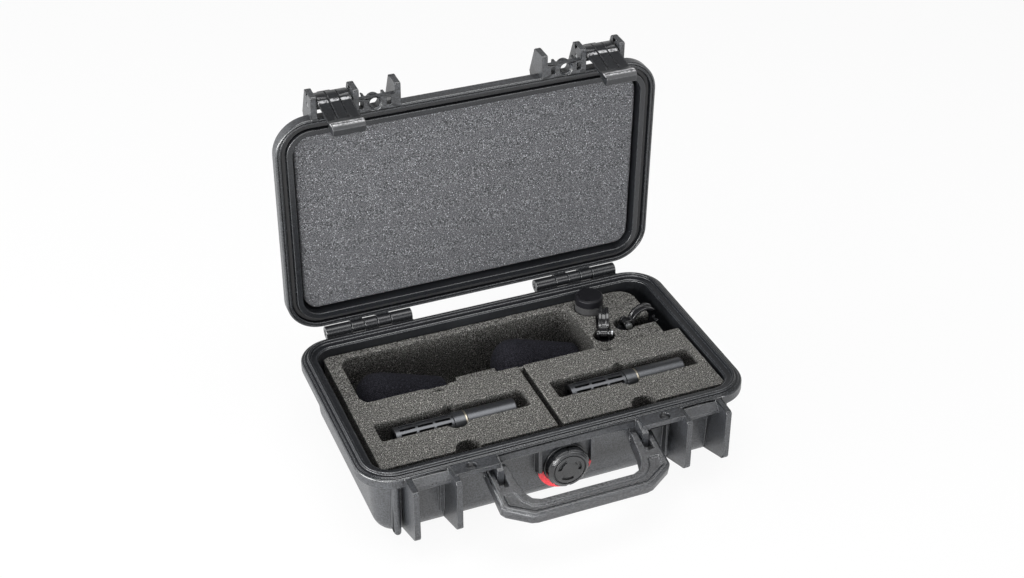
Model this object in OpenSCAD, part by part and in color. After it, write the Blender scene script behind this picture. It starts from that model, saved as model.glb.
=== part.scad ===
// Hinged protector case for a pair of small microphones, shown with its lid open.
// Millimetres. Origin at the centre of the base's underside, +X to the viewer's right,
// +Y towards the hinges, +Z up. The lid is drawn open, as it rests.

/* [Case] */
// Length of the rim, outside to outside
case_l = 296; // [290:1:304]
// Depth of the rim, outside to outside, without fins or hinges
rim_w = 178.4; // [174:0.2:182]
// Corner radius of the rim in plan
corner_r = 27; // [26:0.5:30]
// Height of the base, from its feet to the rim face
base_h = 66; // [62:0.5:72]
// Height of the closed lid, from its rim face to its top
lid_h = 30; // [29:0.5:34]
// Angle by which the lid stands open
lid_open = 88; // [70:1:92]

/* [Front hardware] */
// Distance of the outer latch guards from the centre line
guard_out_x = 117.8; // [116:0.1:119]
// Distance of the inner latch guards from the centre line
guard_in_x = 87; // [85.5:0.1:88]
// Thickness of the guards
guard_t = 4.4; // [3.6:0.1:5]
// Distance from the centre line to the padlock holes
padlock_x = 73.2; // [71:0.1:75]
// Diameter of the padlock holes
padlock_d = 7.5; // [6:0.1:8]
// Diameter of the latch and handle pins
pin_d = 4; // [3:0.1:4.4]

/* [Handle] */
// Half width of the handle over its arms
handle_half = 63.6; // [62:0.1:65]
// Reach of the handle from its pins to its outer edge
handle_reach = 44.7; // [42:0.1:48]
// Thickness of the handle
handle_t = 10.8; // [9:0.1:11]
// Angle of the handle below the level as shown
handle_droop = 14.7; // [5:0.1:40]

/* [Contents] */
// Diameter of the microphones
mic_d = 19; // [17:0.1:19.4]
// Length of the microphones
mic_l = 91.6; // [86:0.1:94]
// Height of the front foam blocks above the case floor feet
block_top = 63; // [61.5:0.5:64]
// Height of the rear foam block
rear_top = 58; // [56:0.5:60]
// Radius of the windscreens
screen_r = 21.5; // [19:0.1:22]

/* [Hidden] */
clear = 0.4;
eps = 0.01;
half_l = case_l / 2;
half_w = rim_w / 2;
cx = half_l - corner_r;
cy = half_w - corner_r;
rim_z = base_h;
lid_z = base_h + clear;
band_low = 9;
band_up = 10;
wall_in = 8.4;
lip_in = 12.7;
foot_h = 4;
floor_z = foot_h + 4;
bottom_r = corner_r - 11;
inner_r = bottom_r - 4;
round_z = foot_h + bottom_r;
hinge_y = half_w + 5.8;
hinge_z = base_h + clear / 2;
knuckle_r = 5;
pin_r = pin_d / 2;
bore_r = pin_r + 0.05;
guard_y = -(half_w + 17.3);
shelf_y = -(half_w + 9.4);
latch_x = (guard_out_x + guard_in_x) / 2;
latch_w = guard_out_x - guard_in_x - guard_t - 2.6;
latch_py = -(half_w + 7.3);
latch_pz = lid_z + 9;
hand_y = -(half_w + 2.8);
hand_z = base_h - 14.8;
bracket_x = 54.9;
bracket_t = 5;
fork_gap = 6;
valve_z = base_h - 28;
valve_x = 0.5;
lid_top = lid_z + lid_h;
lid_skin = lid_top - 2;
lid_arc_r = 12;
lid_arc_z = lid_skin - lid_arc_r;
lid_arc_u = corner_r - wall_in - lid_arc_r;
lid_in_r = lid_arc_r - 4.6;
foam_in_z = lid_z + 5;
mic_z = block_top - 9.9;
padlock_y = -(half_w + 3.9);
mic_y = -(half_w - 56.7);
mic_left_x = -(half_l - 39.4);
mic_right_x = half_l - 121.8;
split_x = 2.3;
block_back = 4;
block_front = -(half_w - 17.2);
pocket_w = mic_d + 0.8;
cap_x = half_l - 64;
cap_y = half_w - 27.9;
cap_r = 10.9;
cap_top = rim_z + 4.6;
clip_r = 11.6;
clip_pin_x = 15;
clip_foot_x = 17.4;
screen_l = 70;
screen_nose = 16;
screen_end_r = screen_r - 7.4;
screen_lean = atan((screen_r - screen_end_r) / (screen_l - screen_nose - 6));
screen_z = floor_z + 3.3 + 6 * sin(screen_lean) + screen_r * cos(screen_lean);
screen_left_x = -(half_l - 32.7);
screen_left_y = half_w - 49.2;
screen_right_x = half_l - 152.8;
screen_right_y = half_w - 46.7;
pocket_x0 = -(half_l - 29.7);
pocket_x1 = half_l - 80.4;
pocket_y0 = 9;
pocket_y1 = half_w - 21;
pocket_r = 10;
foam_x0 = -(half_l - 18.6);
foam_x1 = half_l - 23.7;
foam_y1 = half_w - 13.8;
foam_r = 14;
latch_band = latch_w / 3;

// ---------------------------------------------------------------- helpers

// Carries a flat section, drawn as (distance outwards, height), round a rectangle
// whose corners have the radius r.
module around(l, w, r, fine = 48) {
  for (sx = [0, 1])
    for (sy = [0, 1])
      mirror([sx, 0, 0])
        mirror([0, sy, 0])
          translate([l / 2 - r, w / 2 - r, 0])
            rotate_extrude(angle = 90, $fn = fine)
              children();
  for (s = [0, 1]) {
    mirror([0, s, 0])
      translate([-(l / 2 - r), w / 2 - r, 0])
        rotate([90, 0, 90])
          linear_extrude(l - 2 * r)
            children();
    mirror([s, 0, 0])
      translate([l / 2 - r, w / 2 - r, 0])
        rotate([90, 0, 0])
          linear_extrude(w - 2 * r)
            children();
  }
}

// Flat section drawn as (Y, Z), pulled along X and centred on x.
module slab_x(x, t) {
  translate([x - t / 2, 0, 0])
    rotate([90, 0, 90])
      linear_extrude(t)
        children();
}

// Round bar along X, centred on x.
module bar_x(x, y, z, r, l, fine = 40) {
  translate([x - l / 2, y, z])
    rotate([0, 90, 0])
      cylinder(r = r, h = l, $fn = fine);
}

// Block given by its two opposite corners.
module block(a, b) {
  translate(a)
    cube([b[0] - a[0], b[1] - a[1], b[2] - a[2]]);
}

// Both sides of the case.
module both() {
  children();
  mirror([1, 0, 0])
    children();
}

// Swings the lid and all that it carries from closed to open.
module opened() {
  translate([0, hinge_y, hinge_z])
    rotate([-lid_open, 0, 0])
      translate([0, -hinge_y, -hinge_z])
        children();
}

// ---------------------------------------------------------------- base

module base_section() {
  o = corner_r;
  difference() {
    union() {
      polygon([[0, round_z], [bottom_r, round_z], [o - wall_in, rim_z - band_low],
        [0, rim_z - band_low]]);
      intersection() {
        translate([0, round_z])
          circle(r = bottom_r, $fn = 48);
        square([bottom_r, round_z + eps]);
      }
      polygon([[0, rim_z - band_low - eps], [o - wall_in, rim_z - band_low - eps],
        [o - 1, rim_z - band_low], [o, rim_z - band_low + 1], [o, rim_z - 1.6],
        [o - 0.8, rim_z - 0.8], [o - 2.3, rim_z - 0.8], [o - 2.5, rim_z],
        [o - 4.9, rim_z], [o - 5.2, rim_z + 2], [o - 7.1, rim_z + 2],
        [o - 7.5, rim_z - 0.4], [o - 11.6, rim_z - 0.7], [o - lip_in, rim_z - 1.8],
        [0, rim_z - 1.8]]);
    }
    polygon([[-1, round_z], [inner_r, round_z], [o - lip_in, rim_z - 1.8],
      [o - lip_in, rim_z + 3], [-1, rim_z + 3]]);
    intersection() {
      translate([0, round_z])
        circle(r = inner_r, $fn = 48);
      translate([-1, 0])
        square([inner_r + 1, round_z + eps]);
    }
  }
}

module guard_base() {
  top = rim_z - 1.4;
  polygon([[-half_w + 9.5, top], [guard_y + 1.5, top], [guard_y, top - 1.5],
    [guard_y, 26], [guard_y + 3.1, 21.4], [-cy - 9.9, foot_h + 6.1],
    [-cy - 12.1, round_z - 7], [-cy - bottom_r + 1.8, round_z],
    [-half_w + 10.4, rim_z - band_low]]);
  translate([guard_y + 5, 26])
    circle(r = 5, $fn = 32);
}

module catch_section() {
  y0 = -half_w;
  polygon([[y0 + 3, rim_z - 2.4], [y0 - 0.6, rim_z - 2.4], [y0 - 6.3, rim_z - 6.8],
    [y0 - 6.3, rim_z - 9.2], [y0 - 5.4, rim_z - 9.8], [y0 + 3, rim_z - 8.6]]);
}

module bracket_section() {
  difference() {
    polygon([[-half_w + 9.4, rim_z - 3], [-half_w - 1, rim_z - 1.2],
      [hand_y - 9, rim_z - 5.5], [hand_y - 9, hand_z - 4], [hand_y - 4, hand_z - 8],
      [-half_w + 10.8, hand_z - 12]]);
    translate([hand_y, hand_z])
      circle(r = bore_r, $fn = 40);
  }
}

module base_knuckle(x0, x1) {
  difference() {
    union() {
      bar_x((x0 + x1) / 2, hinge_y, hinge_z, knuckle_r, x1 - x0, 48);
      slab_x((x0 + x1) / 2, x1 - x0)
        polygon([[half_w - 3, rim_z - 8.8], [hinge_y + 1, hinge_z - 4.8],
          [hinge_y, hinge_z], [half_w + 1, rim_z - 1.4], [half_w - 3, rim_z - 1.4]]);
    }
    bar_x((x0 + x1) / 2, hinge_y, hinge_z, bore_r, x1 - x0 + 2);
  }
}

module base_shell() {
  color("#2b2d30")
  difference() {
    union() {
      around(case_l, rim_w, corner_r)
        base_section();
      block([-cx - eps, -cy - eps, foot_h], [cx + eps, cy + eps, floor_z]);
      // feet and the middle pad that the case stands on
      block([-60, -28, 0], [60, 28, foot_h + 1]);
      for (sx = [-1, 1])
        for (sy = [-1, 1])
          block([sx * 98 - 18, sy * 46 - 9, 0], [sx * 98 + 18, sy * 46 + 9, foot_h + 1]);
      both() {
        slab_x(guard_out_x, guard_t)
          guard_base();
        slab_x(guard_in_x, guard_t)
          guard_base();
        slab_x(latch_x, guard_out_x - guard_in_x)
          catch_section();
        // raised strips on the wall beside the inner guards
        slab_x(guard_in_x + guard_t / 2 + 1.6, 3.4)
          polygon([[-half_w + 10.2, rim_z - 8], [-half_w + 6.9, rim_z - 8],
            [-cy - bottom_r - 1.6, round_z], [-cy - bottom_r + 2, round_z]]);
        // shelf with the padlock hole
        block([bracket_x - 1, shelf_y, rim_z - 4.9], [guard_in_x, -half_w + 2, rim_z - 0.8]);
        slab_x(bracket_x, bracket_t)
          bracket_section();
        slab_x(80.5, 2)
          polygon([[-half_w + 10.2, rim_z - 4], [-half_w + 4, rim_z - 4],
            [-half_w + 4, rim_z - 44], [-half_w + 11.5, rim_z - 49]]);
        // rounded upright beside the outer guard
        slab_x(125.4, 5)
          polygon([[-half_w + 11, rim_z - 8], [-half_w + 4.8, rim_z - 8],
            [-half_w + 4.8, rim_z - 50], [-half_w + 13.5, rim_z - 50]]);
        translate([125.4, -half_w + 4.8, rim_z - 50])
          cylinder(r = 2.5, h = 42, $fn = 32);
        translate([125.4, -half_w + 4.8, rim_z - 50])
          sphere(r = 2.5, $fn = 32);
      }
      for (s = [-1, 1]) {
        base_knuckle(s > 0 ? 51.7 : -68.6, s > 0 ? 68.6 : -51.7);
        base_knuckle(s > 0 ? 79.8 : -89.8, s > 0 ? 89.8 : -79.8);
        base_knuckle(s > 0 ? 100.5 : -120.5, s > 0 ? 120.5 : -100.5);
      }
      valve_frame();
    }
    both() {
      translate([padlock_x, padlock_y, rim_z - 8])
        cylinder(d = padlock_d, h = 12, $fn = 40);
      // recess in the face of the handle bracket
      block([bracket_x - bracket_t / 2 - 1, hand_y - 8, hand_z + 3],
        [bracket_x - bracket_t / 2 + 0.8, hand_y - 3, hand_z + 7]);
    }
    translate([valve_x, 0, valve_z])
      rotate([90, 0, 0])
        cylinder(r = 9, h = 120, $fn = 48);
  }
}

// Raised seat of the pressure valve, open at the top, with its two upright edges.
module valve_frame() {
  difference() {
    union() {
      translate([valve_x, -half_w + 6.2, valve_z])
        rotate([-90, 0, 0])
          cylinder(r = 21.5, h = 6.6, $fn = 64);
      block([valve_x - 21.5, -half_w + 6.2, valve_z],
        [valve_x + 21.5, -half_w + 12.2, rim_z - band_low + 1]);
      for (s = [-1, 1])
        block([valve_x + s * 20 - 1.5, -half_w + 2.2, valve_z - 2],
          [valve_x + s * 20 + 1.5, -half_w + 7, rim_z - band_low + 1]);
    }
    // the seat's back never comes through the wall
    around(case_l, rim_w, corner_r)
      polygon([[0, round_z], [inner_r + 1.6, round_z],
        [corner_r - lip_in + 1.6, rim_z], [0, rim_z]]);
  }
}

// ---------------------------------------------------------------- lid

module lid_section() {
  o = corner_r;
  difference() {
    union() {
      polygon([[0, lid_z], [o - 0.8, lid_z], [o, lid_z + 0.8], [o, lid_z + band_up - 1.5],
        [o - 1.5, lid_z + band_up], [o - wall_in + 1, lid_z + band_up + 1.5],
        [o - wall_in, lid_z + band_up + 3], [o - wall_in, lid_arc_z], [0, lid_arc_z]]);
      intersection() {
        translate([lid_arc_u, lid_arc_z])
          circle(r = lid_arc_r, $fn = 48);
        translate([lid_arc_u - eps, lid_arc_z - eps])
          square([lid_arc_r + eps, lid_arc_r + eps]);
      }
      translate([0, lid_arc_z - eps])
        square([lid_arc_u, lid_arc_r + eps]);
    }
    // room inside
    polygon([[-1, lid_z - 1], [o - lip_in, lid_z - 1], [o - lip_in, lid_z + 1],
      [lid_arc_u + lid_in_r, lid_arc_z], [-1, lid_arc_z]]);
    intersection() {
      translate([lid_arc_u, lid_arc_z])
        circle(r = lid_in_r, $fn = 48);
      translate([lid_arc_u - eps, lid_arc_z - eps])
        square([lid_in_r + 1, lid_in_r + 1]);
    }
    translate([-1, lid_arc_z - eps])
      square([lid_arc_u + 1, lid_in_r + eps]);
    // seal groove
    polygon([[o - 8.3, lid_z - 1], [o - 4.2, lid_z - 1], [o - 4.2, lid_z + 3.8],
      [o - 8.3, lid_z + 3.8]]);
    // fine step on the outer land
    polygon([[o - 2.4, lid_z - 1], [o - 1.9, lid_z - 1], [o - 1.9, lid_z + 0.5],
      [o - 2.4, lid_z + 0.5]]);
  }
}

module guard_lid() {
  polygon([[-half_w + 9, lid_z + 10], [-half_w + 2, lid_z], [guard_y + 1, lid_z],
    [guard_y, lid_z + 1], [guard_y, lid_z + 12.4], [guard_y + 3.6, lid_z + 17],
    [-half_w + 5, lid_z + 24.5], [-half_w + 10.5, lid_z + 22]]);
  translate([guard_y + 3, lid_z + 13.4])
    circle(r = 3, $fn = 32);
}

module lid_knuckle(x0, x1) {
  difference() {
    union() {
      bar_x((x0 + x1) / 2, hinge_y, hinge_z, knuckle_r, x1 - x0, 48);
      slab_x((x0 + x1) / 2, x1 - x0)
        polygon([[half_w - 3, lid_z + 1.4], [half_w + 1, lid_z + 1.4],
          [hinge_y, hinge_z], [hinge_y + 1, hinge_z + 4.8], [half_w - 3, lid_z + 9.5]]);
    }
    bar_x((x0 + x1) / 2, hinge_y, hinge_z, bore_r, x1 - x0 + 2);
  }
}

module lid_shell() {
  color("#2b2d30")
  opened()
  difference() {
    union() {
      around(case_l, rim_w, corner_r)
        lid_section();
      block([-cx - eps, -cy - eps, lid_arc_z + lid_in_r], [cx + eps, cy + eps, lid_skin]);
      // long ribs on top that lock into a second case when stacked
      for (s = [-1, 1]) {
        block([-104, s * 38 - 7, lid_skin - 1], [-20, s * 38 + 7, lid_top]);
        block([20, s * 38 - 7, lid_skin - 1], [104, s * 38 + 7, lid_top]);
      }
      both() {
        slab_x(guard_out_x, guard_t)
          guard_lid();
        slab_x(guard_in_x, guard_t)
          guard_lid();
        slab_x(56.3, guard_t)
          guard_lid();
        block([56.3, shelf_y, lid_z], [guard_in_x, -half_w + 2, lid_z + 4.4]);
        for (s = [-1, 1])
          block([padlock_x + s * 7.6 - 1, shelf_y, lid_z + 4],
            [padlock_x + s * 7.6 + 1, -half_w + 2, lid_z + 9]);
        // boss that makes the padlock hole as long as the band is high
        translate([padlock_x, padlock_y, lid_z + 0.5])
          cylinder(d = padlock_d + 3.2, h = 8.1, $fn = 40);
      }
      for (s = [-1, 1]) {
        lid_knuckle(s > 0 ? 69 : -79.4, s > 0 ? 79.4 : -69);
        lid_knuckle(s > 0 ? 90.2 : -100.1, s > 0 ? 100.1 : -90.2);
      }
    }
    both() {
      translate([padlock_x, padlock_y, lid_z - 2])
        cylinder(d = padlock_d, h = 14, $fn = 40);
      translate([padlock_x, padlock_y, lid_z - eps])
        cylinder(r1 = padlock_d / 2 + 1.6, r2 = padlock_d / 2, h = 1.6, $fn = 40);
      for (s = [-1, 1])
        block([padlock_x + s * 10.2 - 1.6, shelf_y + 2.2, lid_z - 2],
          [padlock_x + s * 10.2 + 1.6, -half_w - 1.4, lid_z + 6]);
      bar_x(latch_x, latch_py, latch_pz, bore_r, guard_out_x - guard_in_x + 12);
    }
  }
}

module lid_gasket() {
  color("#1b1b1c")
  opened()
  around(case_l, rim_w, corner_r)
    translate([corner_r - 7.6, lid_z + 2.5])
      square([2.7, 1]);
}

// ---------------------------------------------------------------- hinge and latch pins

module hinge_pins() {
  color("#8d9094")
  both()
    bar_x(86.1, hinge_y, hinge_z, pin_r, 68, 40);
}

module latch_pins() {
  color("#8d9094")
  opened()
  both()
    bar_x(latch_x, latch_py, latch_pz, pin_r, guard_out_x - guard_in_x + guard_t - 0.6, 40);
}

// One-piece latch: the barrel on its pin, the curved lever, the hook and the flared lip.
module latch_section() {
  y = latch_py;
  z = latch_pz;
  difference() {
    union() {
      translate([y, z])
        circle(r = 4.4, $fn = 40);
      polygon([[y + 1.2, z + 4], [y + 1.6, z + 8.2], [y - 1, z + 9.6], [y - 3.8, z + 8.8],
        [y - 6, z + 5], [y - 6.8, z - 0.6], [y - 6.5, z - 2.4], [y - 5.2, z - 8],
        [y - 4, z - 15], [y - 2.3, z - 23], [y - 1.5, z - 29], [y - 2.2, z - 33.6],
        [y - 3.9, z - 37.4], [y - 4, z - 39.4], [y - 2.9, z - 41.4], [y - 0.6, z - 42.4],
        [y + 4.2, z - 41.8], [y + 5.3, z - 40], [y + 4.6, z - 36.4], [y + 2.4, z - 31],
        [y, z - 24.6], [y - 0.3, z - 22.6], [y + 0.5, z - 21.8], [y + 0.5, z - 19.8],
        [y - 1.5, z - 19.6], [y - 1.5, z - 11], [y - 0.4, z - 4.2]]);
    }
    translate([y, z])
      circle(r = bore_r, $fn = 40);
  }
}

module latch_shape(x) {
  y = latch_py;
  z = latch_pz;
  difference() {
    slab_x(x, latch_w)
      latch_section();
    // two lengthwise grooves part the lever's face in three bands
    for (s = [-1, 1])
      slab_x(x + s * latch_band / 2, 0.7)
        polygon([[y - 9, z + 7], [y - 4.1, z + 7], [y - 5.9, z + 1], [y - 5.7, z - 3],
          [y - 4.5, z - 8], [y - 3.3, z - 15], [y - 1.6, z - 23], [y - 0.8, z - 28.6],
          [y - 9, z - 30]]);
    // outer bands stand a little lower than the middle one below the first fold
    for (s = [-1, 1])
      slab_x(x + s * latch_band, latch_band - 0.5)
        polygon([[y - 9, z - 4.5], [y - 5.6, z - 4.5], [y - 3.6, z - 15], [y - 1.9, z - 23],
          [y - 1.1, z - 29.4], [y - 9, z - 29.4]]);
  }
  // thumb tab on the crown
  slab_x(x - 3.6, 9)
    polygon([[y - 2, z + 8], [y - 0.2, z + 10.2], [y - 3.9, z + 9.6], [y - 5.6, z + 6.6],
      [y - 4, z + 6]]);
}

module latch_left() {
  color("#232427")
  opened()
    latch_shape(-latch_x);
}

module latch_right() {
  color("#232427")
  opened()
    latch_shape(latch_x);
}

// ---------------------------------------------------------------- handle

// Outline in the handle's own plane: across, and outwards from the pins.
module handle_outline() {
  h = handle_half;
  r = handle_reach;
  polygon([[-h, -3], [-h + 3, -6.4], [-47.6, -6.4], [-46.6, 4], [-45.6, 16], [-43.6, 24.4],
    [-40.4, 29.6], [-34.6, 32], [34.6, 32], [40.4, 29.6], [43.6, 24.4], [45.6, 16],
    [46.6, 4], [47.6, -6.4], [h - 3, -6.4], [h, -3], [h, r - 14], [h - 2.6, r - 10.4],
    [45.6, r - 1], [41, r], [-41, r], [-45.6, r - 1], [-h + 2.6, r - 10.4], [-h, r - 14]]);
}

// Slope that takes the edge off the handle's outer side, on both faces.
module handle_edge(a, b, c) {
  d = b - a;
  for (m = [0, 1])
    mirror([0, 0, m])
      translate([a[0], a[1], handle_t / 2])
        rotate([0, 0, atan2(d[1], d[0])])
          translate([-3, 0, 0])
            rotate([90, 0, 90])
              linear_extrude(norm(d) + 6)
                polygon([[-2, 2], [c + 2, 2], [-2, -c - 2]]);
}

module handle_shape() {
  t = handle_t;
  h = handle_half;
  r = handle_reach;
  difference() {
    translate([0, 0, -t / 2])
      linear_extrude(t)
        handle_outline();
    handle_edge([h, -3], [h, r - 14], 1.8);
    handle_edge([h, r - 14], [h - 2.6, r - 10.4], 1.8);
    handle_edge([h - 2.6, r - 10.4], [45.6, r - 1], 1.8);
    handle_edge([45.6, r - 1], [41, r], 1.8);
    handle_edge([41, r], [-41, r], 1.8);
    handle_edge([-41, r], [-45.6, r - 1], 1.8);
    handle_edge([-45.6, r - 1], [-h + 2.6, r - 10.4], 1.8);
    handle_edge([-h + 2.6, r - 10.4], [-h, r - 14], 1.8);
    handle_edge([-h, r - 14], [-h, -3], 1.8);
    // panel let into the upper face of the grip
    translate([0, 0, t / 2 - 1.2])
      linear_extrude(3)
        polygon([[-58.4, 22.4], [-50.4, 22.4], [-48, 29.6], [-43, 34.6], [-36.4, 36.6],
          [36.4, 36.6], [43, 34.6], [48, 29.6], [50.4, 22.4], [58.4, 22.4],
          [58.4, handle_reach - 14.6], [41.6, handle_reach - 4.4],
          [-41.6, handle_reach - 4.4], [-58.4, handle_reach - 14.6]]);
    // saving under the grip
    translate([0, 0, -t / 2 - 1])
      linear_extrude(4.4)
        polygon([[-34, 35], [34, 35], [40, handle_reach - 3.4], [-40, handle_reach - 3.4]]);
    bar_x(0, 0, 0, bore_r, 2 * handle_half + 4);
    // forks that take the brackets
    for (s = [-1, 1])
      translate([s * bracket_x - fork_gap / 2, -9, -t])
        cube([fork_gap, 9 + 15.6, 2 * t]);
  }
}

module at_handle() {
  translate([0, hand_y, hand_z])
    rotate([handle_droop, 0, 0])
      mirror([0, 1, 0])
        children();
}

module handle() {
  color("#232427")
  at_handle()
    difference() {
      handle_shape();
      // the arms are rounded about the pins
      for (s = [-1, 1])
        translate([s * (bracket_x), 0, 0])
          difference() {
            translate([-12, -12, -12])
              cube([24, 12, 24]);
            bar_x(0, 0, 0, handle_t / 2, 26, 48);
          }
    }
}

module handle_pins() {
  color("#8d9094")
  both()
    bar_x(bracket_x, hand_y, hand_z, pin_r, 14, 40);
}

// ---------------------------------------------------------------- pressure valve

module valve_turned() {
  translate([valve_x, -half_w + 5.9, valve_z])
    rotate([90, 0, 0])
      children();
}

module valve_body() {
  color("#1e1f21")
  valve_turned() {
    difference() {
      union() {
        cylinder(r = 16.4, h = 2, $fn = 64);
        cylinder(r = 12, h = 3, $fn = 64);
        translate([0, 0, -9.4])
          cylinder(r = 8.6, h = 9.9, $fn = 48);
      }
      translate([0, 0, -15])
        cylinder(r = 4.16, h = 20, $fn = 40);
    }
  }
}

module valve_seal() {
  color("#111112")
  valve_turned()
    translate([0, 0, 2.4])
      difference() {
        cylinder(r = 14, h = 1.2, $fn = 64);
        translate([0, 0, -1])
          cylinder(r = 12.4, h = 4, $fn = 64);
      }
}

module valve_knob() {
  color("#1e1f21")
  valve_turned()
    difference() {
      union() {
        translate([0, 0, 4])
          cylinder(r = 16, h = 3.4, $fn = 64);
        translate([0, 0, 7.4])
          cylinder(r1 = 15.4, r2 = 13.2, h = 2, $fn = 64);
        translate([0, 0, -8])
          cylinder(r = 4.1, h = 13, $fn = 40);
      }
      // ring groove in the face
      translate([0, 0, 8.6])
        difference() {
          cylinder(r = 12.2, h = 2, $fn = 64);
          translate([0, 0, -1])
            cylinder(r = 11.4, h = 4, $fn = 64);
        }
      // three curved slots
      for (a = [0, 120, 240])
        rotate([0, 0, a + 20])
          intersection() {
            translate([0, 0, 8])
              difference() {
                cylinder(r = 9, h = 3, $fn = 64);
                translate([0, 0, -1])
                  cylinder(r = 6.6, h = 5, $fn = 64);
              }
            translate([0, 0, 7])
              linear_extrude(4)
                polygon([[0, 0], [14, -9], [16, 0], [14, 9]]);
          }
      // grips on the edge
      for (a = [0:45:315])
        rotate([0, 0, a])
          translate([16.6, 0, 3.6])
            cylinder(r = 1.4, h = 4.2, $fn = 24);
    }
}

module valve_label() {
  color("#c8202a")
  translate([valve_x, -half_w + 5.9, valve_z])
    rotate([90, 0, 0])
      difference() {
        cylinder(r = 21, h = 0.9, $fn = 64);
        translate([0, 0, -1])
          cylinder(r = 16.8, h = 4, $fn = 64);
        translate([-30, -3, -1])
          cube([60, 40, 4]);
      }
}

// ---------------------------------------------------------------- foam

// The room inside the base, drawn back by c on every side.
module base_room(c) {
  around(case_l, rim_w, corner_r)
    difference() {
      union() {
        polygon([[0, round_z], [inner_r - c, round_z],
          [corner_r - lip_in - c, rim_z - 1.8], [0, rim_z - 1.8]]);
        intersection() {
          translate([0, round_z])
            circle(r = inner_r - c, $fn = 48);
          square([inner_r - c, round_z + eps]);
        }
      }
      square([inner_r, floor_z + c]);
    }
  block([-cx - eps, -cy - eps, floor_z + c], [cx + eps, cy + eps, rim_z - 1.8]);
}

module lid_foam() {
  color("#5a5e66")
  opened() {
    around(case_l, rim_w, corner_r)
      polygon([[0, foam_in_z], [corner_r - 14.8, foam_in_z], [corner_r - 15, lid_arc_z + 3],
        [lid_arc_u + 1, lid_arc_z + 3], [lid_arc_u + 1, lid_arc_z + lid_in_r - 0.3],
        [0, lid_arc_z + lid_in_r - 0.3]]);
    block([-cx - eps, -cy - eps, foam_in_z], [cx + eps, cy + eps, lid_arc_z + lid_in_r - 0.3]);
  }
}

module base_pad() {
  color("#3c3a37")
  intersection() {
    base_room(0.3);
    block([-half_l, -half_w, floor_z], [half_l, half_w, floor_z + 3]);
  }
}

module rear_foam() {
  color("#4a4844")
  difference() {
    intersection() {
      base_room(0.3);
      union() {
        block([foam_x0, block_back + 0.6, floor_z + 3.3],
          [foam_x1 - foam_r, foam_y1, rear_top]);
        block([foam_x1 - foam_r - 1, block_back + 0.6, floor_z + 3.3],
          [foam_x1, foam_y1 - foam_r, rear_top]);
        translate([foam_x1 - foam_r, foam_y1 - foam_r, floor_z + 3.3])
          cylinder(r = foam_r, h = rear_top - floor_z - 3.3, $fn = 48);
      }
    }
    // pocket of the windscreens
    difference() {
      union() {
        block([pocket_x0 + pocket_r, pocket_y0, floor_z],
          [pocket_x1 - pocket_r, pocket_y1, rear_top + 2]);
        block([pocket_x0, pocket_y0 + pocket_r, floor_z],
          [pocket_x1, pocket_y1 - pocket_r, rear_top + 2]);
        for (px = [pocket_x0 + pocket_r, pocket_x1 - pocket_r])
          for (py = [pocket_y0 + pocket_r, pocket_y1 - pocket_r])
            translate([px, py, floor_z])
              cylinder(r = pocket_r, h = 60, $fn = 40);
      }
      block([-45, 5, floor_z - 1], [-14, 15.6, rear_top + 3]);
    }
    // hole of the round cap
    translate([cap_x, cap_y, 25.6])
      cylinder(r = cap_r + 0.5, h = 60, $fn = 48);
    // slot and foot hole of the left clip
    clip_left_place() {
      block([-5, -13, -14], [5, 13, 40]);
      translate([0, -clip_foot_x + 1.2, -17.6])
        cylinder(r = 8.2, h = 60, $fn = 40);
    }
    // hole of the right clip
    clip_right_place() {
      block([-13, -5.2, -14], [13, 5.2, 40]);
      translate([-clip_foot_x + 1.2, 0, -17.6])
        cylinder(r = 8.2, h = 60, $fn = 40);
    }
  }
}

module front_block(x0, x1, mic_x) {
  top = block_top;
  difference() {
    intersection() {
      base_room(0.3);
      block([x0, block_front, floor_z + 3.3], [x1, block_back, top]);
    }
    // bed of the microphone
    block([mic_x - 12.1, mic_y - pocket_w / 2, mic_z - mic_d / 2 - 0.4],
      [mic_x + mic_l + 8.8, mic_y + pocket_w / 2, top + 1]);
    // finger holes beside the collar
    translate([mic_x + 44.2, mic_y - 8, 45])
      cylinder(r = 7.5, h = 40, $fn = 40);
    translate([mic_x + 44.6, mic_y + 7.5, 45])
      cylinder(r = 5.6, h = 40, $fn = 40);
    // notch in the front edge for lifting the block
    translate([mic_x + 41.4, block_front, 40])
      cylinder(r = 9, h = 40, $fn = 40);
    // notch in the rear edge
    translate([mic_x + 44.4, block_back + 2.4, 40])
      cylinder(r = 8.6, h = 40, $fn = 40);
  }
}

module block_left() {
  color("#4a4844")
  front_block(-(half_l - 16.8), split_x - 1.9, mic_left_x);
}

module block_right() {
  color("#4a4844")
  front_block(split_x + 1.9, half_l - 14.4, mic_right_x);
}

// ---------------------------------------------------------------- microphones

module at_mic(x) {
  translate([x, mic_y, mic_z])
    rotate([0, 90, 0])
      children();
}

mic_tube_l = 43.4;
mic_collar_l = 10.4;

// Slotted tube of the capsule: three windows in each of twelve rows.
module mic_tube() {
  difference() {
    union() {
      cylinder(d = mic_d - 1.4, h = mic_tube_l, $fn = 48);
      translate([0, 0, mic_tube_l - eps])
        cylinder(d = mic_d - 4, h = 6, $fn = 48);
    }
    translate([0, 0, 2.4])
      cylinder(d = mic_d - 6.4, h = 60, $fn = 48);
    translate([0, 0, -1])
      cylinder(d = mic_d - 9, h = 5, $fn = 48);
    for (k = [0:5])
      rotate([0, 0, k * 30 + 12])
        for (i = [0:2])
          translate([-mic_d, -1.05, 3.8 + i * 13.2])
            cube([2 * mic_d, 2.1, 11.2]);
  }
}

// Fine gauze sleeve seen through the windows.
module mic_grid() {
  translate([0, 0, 3])
    difference() {
      cylinder(d = mic_d - 7, h = 38, $fn = 48);
      translate([0, 0, 1.4])
        cylinder(d = mic_d - 9.4, h = 60, $fn = 48);
    }
}

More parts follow.
